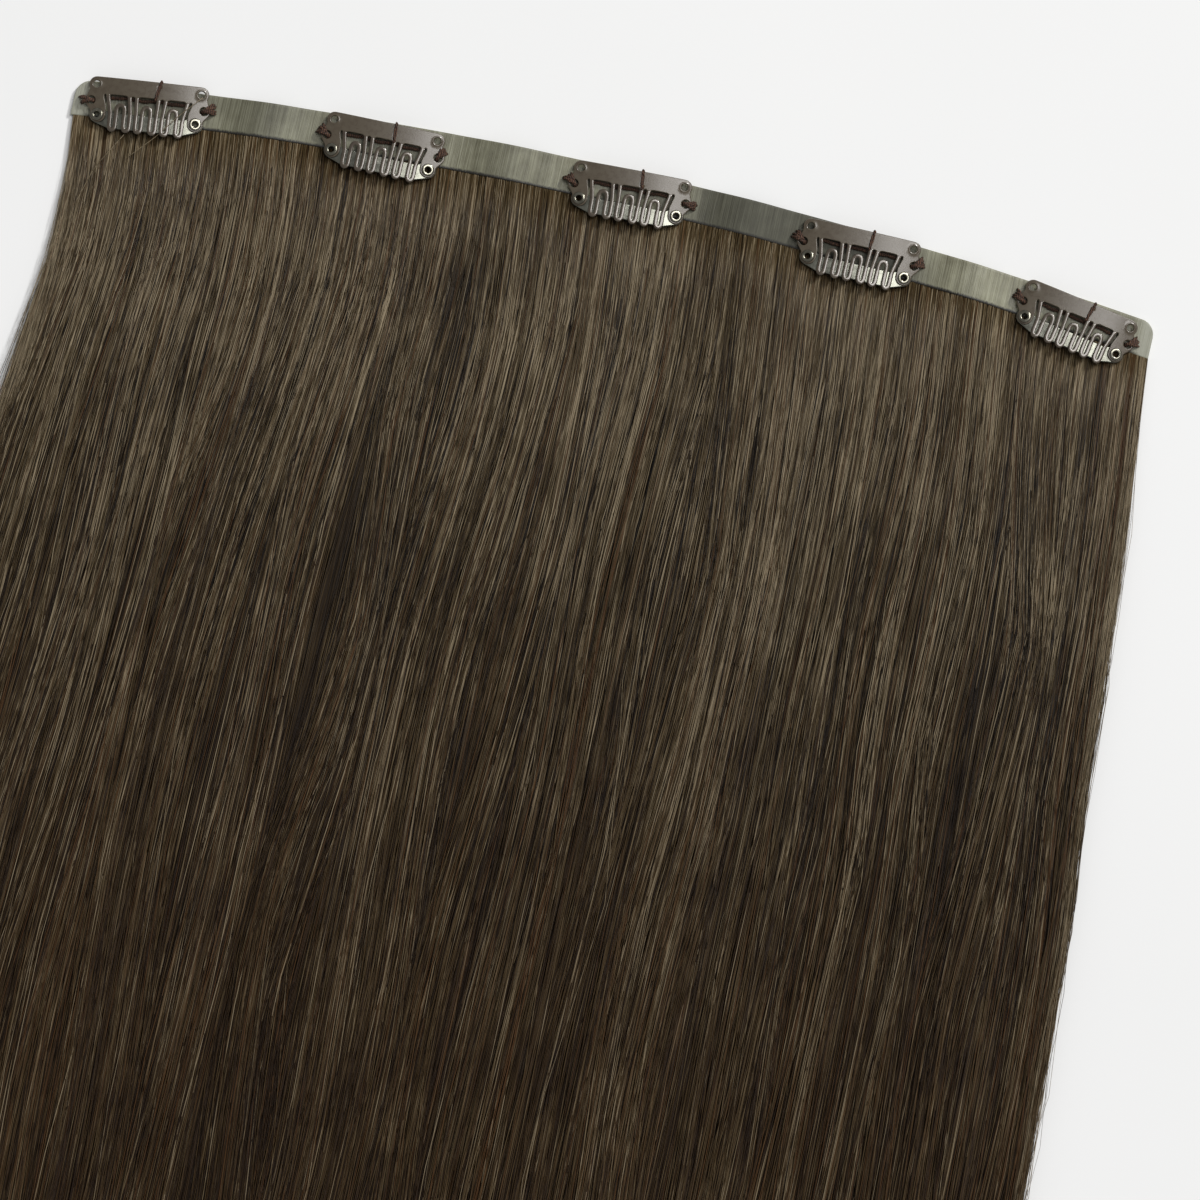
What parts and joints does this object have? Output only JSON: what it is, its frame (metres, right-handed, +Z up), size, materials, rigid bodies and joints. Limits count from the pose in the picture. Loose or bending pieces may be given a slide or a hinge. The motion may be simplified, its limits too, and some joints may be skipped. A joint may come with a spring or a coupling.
{
  "type": "clip-in hair extension",
  "caption": "Weft of straight brown hair on a slim clear band, with snap comb clips sewn along the band for fixing it to the wearer's own hair.",
  "frame": {"origin": "on the table under the middle of the whole piece as it lies face up", "axes": "+X along the band to the right of the picture, +Y from the hair's tips towards the band, +Z up, away from the table"},
  "size_m": [0.2654, 0.4108, 0.0042],
  "materials": {
    "clear_band": "clear grey-green polyurethane strip, soft sheen, fine ribs",
    "hair": "straight cool brown hair, satin",
    "clip_paint": "taupe brown lacquer, semi-gloss",
    "bar_steel": "bright rolled steel",
    "eyelet_metal": "bright plated eyelet"
  },
  "bodies": {
    "root": {"tape": "clear_band", "hair": "hair", "clip_1_bar": "bar_steel", "clip_1_ear_left": "clip_paint", "clip_1_eyelet_left": "eyelet_metal", "clip_1_ear_right": "clip_paint", "clip_1_eyelet_right": "eyelet_metal", "clip_2_bar": "bar_steel", "clip_2_ear_left": "clip_paint", "clip_2_eyelet_left": "eyelet_metal", "clip_2_ear_right": "clip_paint", "clip_2_eyelet_right": "eyelet_metal", "clip_3_bar": "bar_steel", "clip_3_ear_left": "clip_paint", "clip_3_eyelet_left": "eyelet_metal", "clip_3_ear_right": "clip_paint", "clip_3_eyelet_right": "eyelet_metal", "clip_4_bar": "bar_steel", "clip_4_ear_left": "clip_paint", "clip_4_eyelet_left": "eyelet_metal", "clip_4_ear_right": "clip_paint", "clip_4_eyelet_right": "eyelet_metal", "clip_5_bar": "bar_steel", "clip_5_ear_left": "clip_paint", "clip_5_eyelet_left": "eyelet_metal", "clip_5_ear_right": "clip_paint", "clip_5_eyelet_right": "eyelet_metal"},
    "comb_1": {"clip_1_comb": "clip_paint"},
    "comb_2": {"clip_2_comb": "clip_paint"},
    "comb_3": {"clip_3_comb": "clip_paint"},
    "comb_4": {"clip_4_comb": "clip_paint"},
    "comb_5": {"clip_5_comb": "clip_paint"}
  },
  "joints": [
    {"name": "snap_1", "type": "hinge", "parent": "root", "child": "comb_1", "pos_m": [-0.10897, 0.19848, 0.0026], "axis": [-0.9933, -0.1158, 0], "range_deg": [0, 30]},
    {"name": "snap_2", "type": "hinge", "parent": "root", "child": "comb_2", "pos_m": [-0.05609, 0.20127, 0.0026], "axis": [-0.9999, -0.012, 0], "range_deg": [0, 30]},
    {"name": "snap_3", "type": "hinge", "parent": "root", "child": "comb_3", "pos_m": [-0.00066, 0.20315, 0.0026], "axis": [-0.9993, -0.0362, 0], "range_deg": [0, 30]},
    {"name": "snap_4", "type": "hinge", "parent": "root", "child": "comb_4", "pos_m": [0.05161, 0.20145, 0.0026], "axis": [-1, 0.0028, 0], "range_deg": [0, 30]},
    {"name": "snap_5", "type": "hinge", "parent": "root", "child": "comb_5", "pos_m": [0.10216, 0.19713, 0.0026], "axis": [-0.9851, 0.172, 0], "range_deg": [0, 30]}
  ]
}
